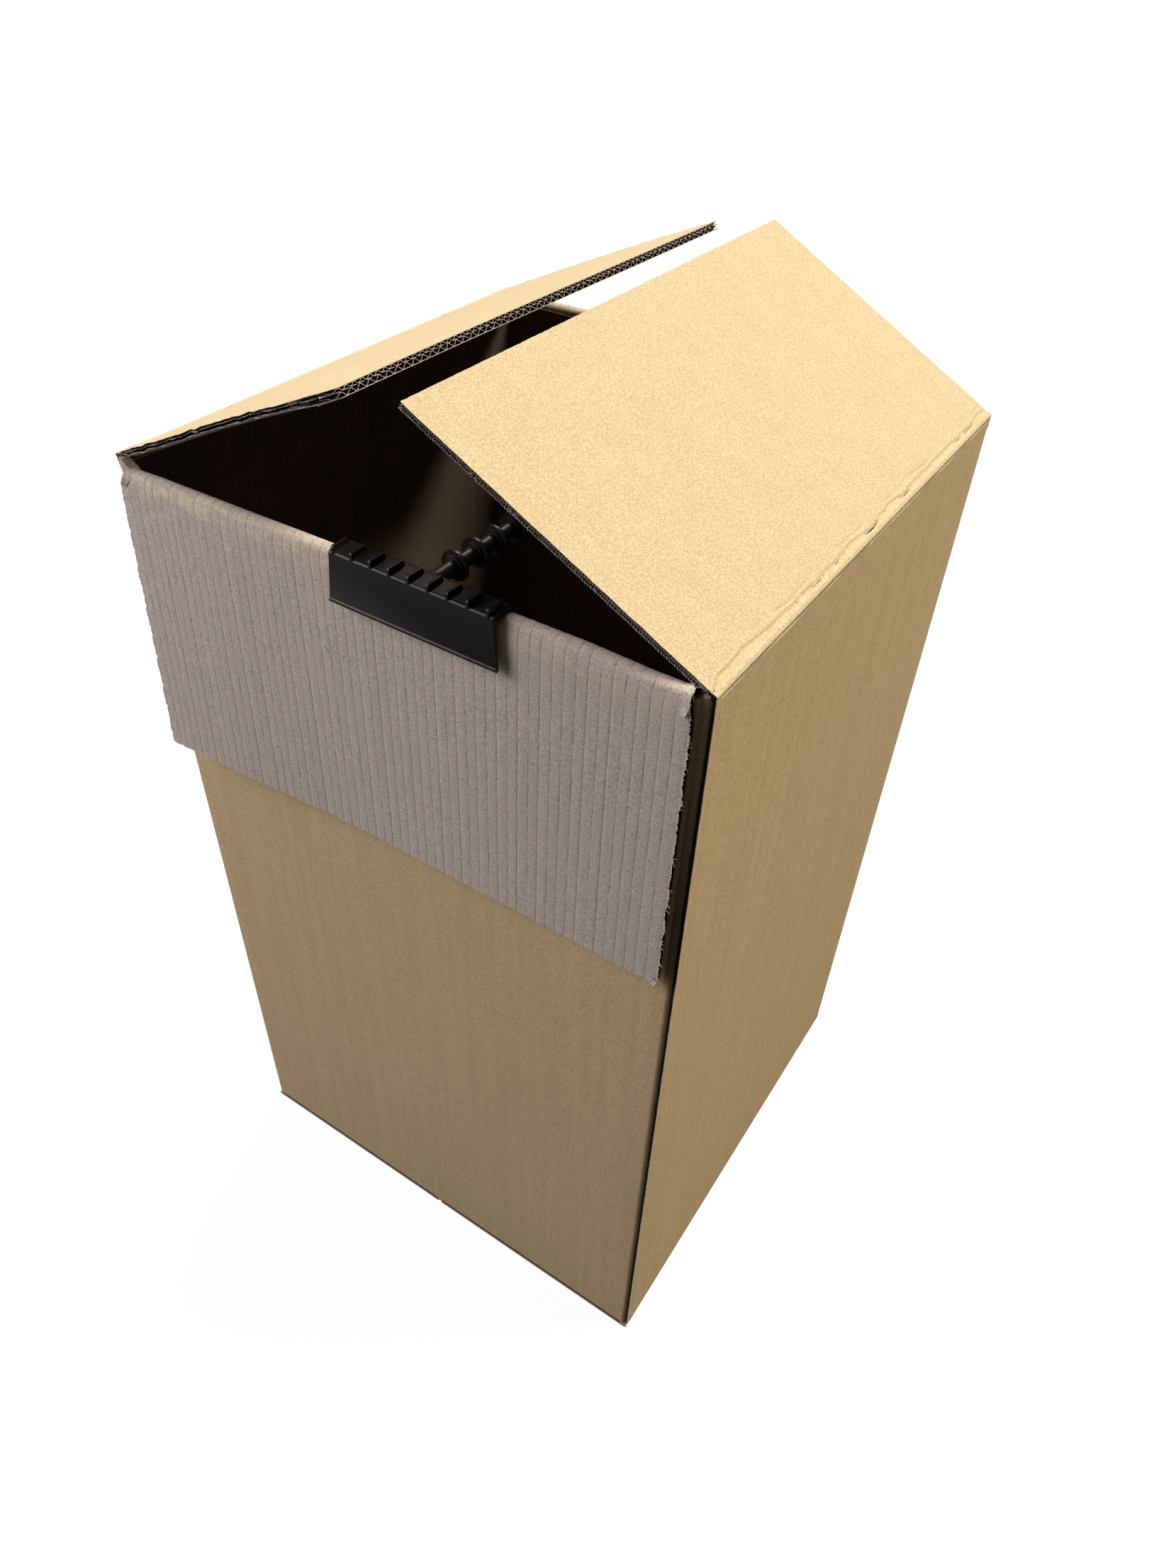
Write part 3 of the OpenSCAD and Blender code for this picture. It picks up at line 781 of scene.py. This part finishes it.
def walls():
    """The carton's walls and bottom. The tab's top and foot are cut back, and taper towards its end."""
    outer, inner, tab_from = wall_band()
    count = len(outer)
    into_tab = np.maximum(np.arange(count) - tab_from - 3, 0)
    taper = np.maximum(into_tab - 4, 0) / (count - tab_from - 7)
    shrink = np.minimum(into_tab, 4) / 4 * BOARD + taper * 12
    at_corner = (np.abs(outer[:, 0]) < HALF_W - 0.3) & (np.abs(outer[:, 0]) > END_HALF)
    top, foot = SLOT_Z + CORNER_RISE * at_corner - shrink, FOOT_Z + shrink * 1.4
    share = spans((0, 0.02, 0.004), (0.02, 0.98, 0.06), (0.98, 1, 0.01))[:, None]
    z = (foot + share * (top - foot))[..., None]
    paper = Paper()
    size = (len(share), count, 2)
    near, far = (np.concatenate([np.broadcast_to(line, size), z], -1) for line in (outer, inner))
    paper.sheet(near, far, (FACE, BACK, RAW))
    raw_edge(paper)
    side_wall_tops(paper)
    bottom_flaps(paper)
    piece = paper.build("carton_walls", WALL_SLOTS)
    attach(piece, "carton")
    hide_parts("carton")


walls()


def rail():
    """The hanging rail, with its moulded edges rounded."""
    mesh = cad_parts["hanging_rail"].data.copy()
    mesh.name = "rail"
    mesh.materials.clear()
    mesh.materials.append(BLACK)
    shape = bmesh.new()
    shape.from_mesh(mesh)
    bmesh.ops.remove_doubles(shape, verts=shape.verts, dist=0.02 * MM)
    bmesh.ops.dissolve_limit(shape, angle_limit=math.radians(1), verts=shape.verts, edges=shape.edges)
    shape.to_mesh(mesh)
    shape.free()
    piece = bpy.data.objects.new("rail", mesh)
    bpy.context.scene.collection.objects.link(piece)
    bevel = piece.modifiers.new("rounding", "BEVEL")
    bevel.width = 0.4 * MM
    bevel.segments = 2
    bevel.limit_method = "ANGLE"
    bevel.angle_limit = math.radians(40)
    mesh.shade_smooth()
    mesh.set_sharp_from_angle(angle=math.radians(30))
    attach(piece, "carton")
    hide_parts("hanging_rail")


rail()


# Floor, lamps and camera
def lamp(name, place, target, size, power, colour):
    light = bpy.data.lights.new(name, "AREA")
    light.shape = "DISK"
    light.size = size
    light.energy = power
    light.color = colour
    spot = bpy.data.objects.new(name, light)
    spot.location = place
    spot.rotation_euler = (Vector(target) - Vector(place)).to_track_quat("-Z", "Y").to_euler()
    bpy.context.scene.collection.objects.link(spot)


lamp("key", (2.73, 2.8, 6.56), (0, 0, 0.6), 3.2, 625, (1.0, 0.97, 0.93))
lamp("left", (-2.55, -1.6, 1.5), (0, -0.2, 0.6), 2.4, 47, (0.72, 0.77, 1.0))
lamp("back", (-1.0, 2.4, 3.75), (0, 0, 0.75), 1.0, 48, (1.0, 0.93, 0.85))
lamp("front", (-1.9, -1.95, 2.5), (0, -0.2, 0.75), 1.8, 44, (0.89, 0.89, 1.0))


def white_floor(glow_near, glow_far):
    """Floor that the camera sees white, but for the object's soft shadow. The glows: at 0.4 and 1.6 m."""
    material = new_material("floor", (0.08, 0.08, 0.08), 0.9)
    nodes = Nodes(material)
    place = nodes.add("ShaderNodeTexCoord").outputs["Object"]
    away = nodes.add("ShaderNodeVectorMath", [(0, place)], operation="LENGTH").outputs["Value"]
    glow = nodes.ranged(away, 0.4, 1.6, glow_near, glow_far)
    seen = nodes.add("ShaderNodeLightPath").outputs["Is Camera Ray"]
    light = nodes.add("ShaderNodeEmission", [("Strength", nodes.math("MULTIPLY", glow, seen))])
    total = nodes.add("ShaderNodeAddShader", [(0, nodes.shader.outputs[0]), (1, light.outputs[0])])
    nodes.feed(nodes.tree.nodes["Material Output"].inputs["Surface"], total.outputs[0])
    return material


def studio_world(ambient):
    """White to the camera, and a soft ambient light of that strength to everything else."""
    world = bpy.data.worlds.new("studio")
    bpy.context.scene.world = world
    world.use_nodes = True
    nodes = Nodes(world)
    seen = nodes.add("ShaderNodeLightPath").outputs["Is Camera Ray"]
    back = nodes.tree.nodes["Background"]
    nodes.feed(back.inputs["Strength"], nodes.ranged(seen, 0, 1, ambient, 1))
    back.inputs["Color"].default_value = (1, 1, 1, 1)


FLOOR_HALF = 40
floor_mesh = bpy.data.meshes.new("floor")
floor_corners = [(x * FLOOR_HALF, y * FLOOR_HALF, 0) for x, y in ((-1, -1), (1, -1), (1, 1), (-1, 1))]
floor_mesh.from_pydata(floor_corners, [], [(0, 1, 2, 3)])
floor_mesh.materials.append(white_floor(0.94, 1.0))
floor = bpy.data.objects.new("floor", floor_mesh)
bpy.context.scene.collection.objects.link(floor)
studio_world(0.038)

camera = bpy.data.objects.new("camera", bpy.data.cameras.new("camera"))
camera.data.sensor_width = 36
camera.data.sensor_fit = "HORIZONTAL"
camera.data.lens = 33.931
camera.location = (0.41026, -0.64294, 1.10043)
camera.rotation_euler = Euler([math.radians(a) for a in (48.381, -2.188, 33.272)])
bpy.context.scene.collection.objects.link(camera)
bpy.context.scene.camera = camera
bpy.context.scene.view_settings.view_transform = "Standard"
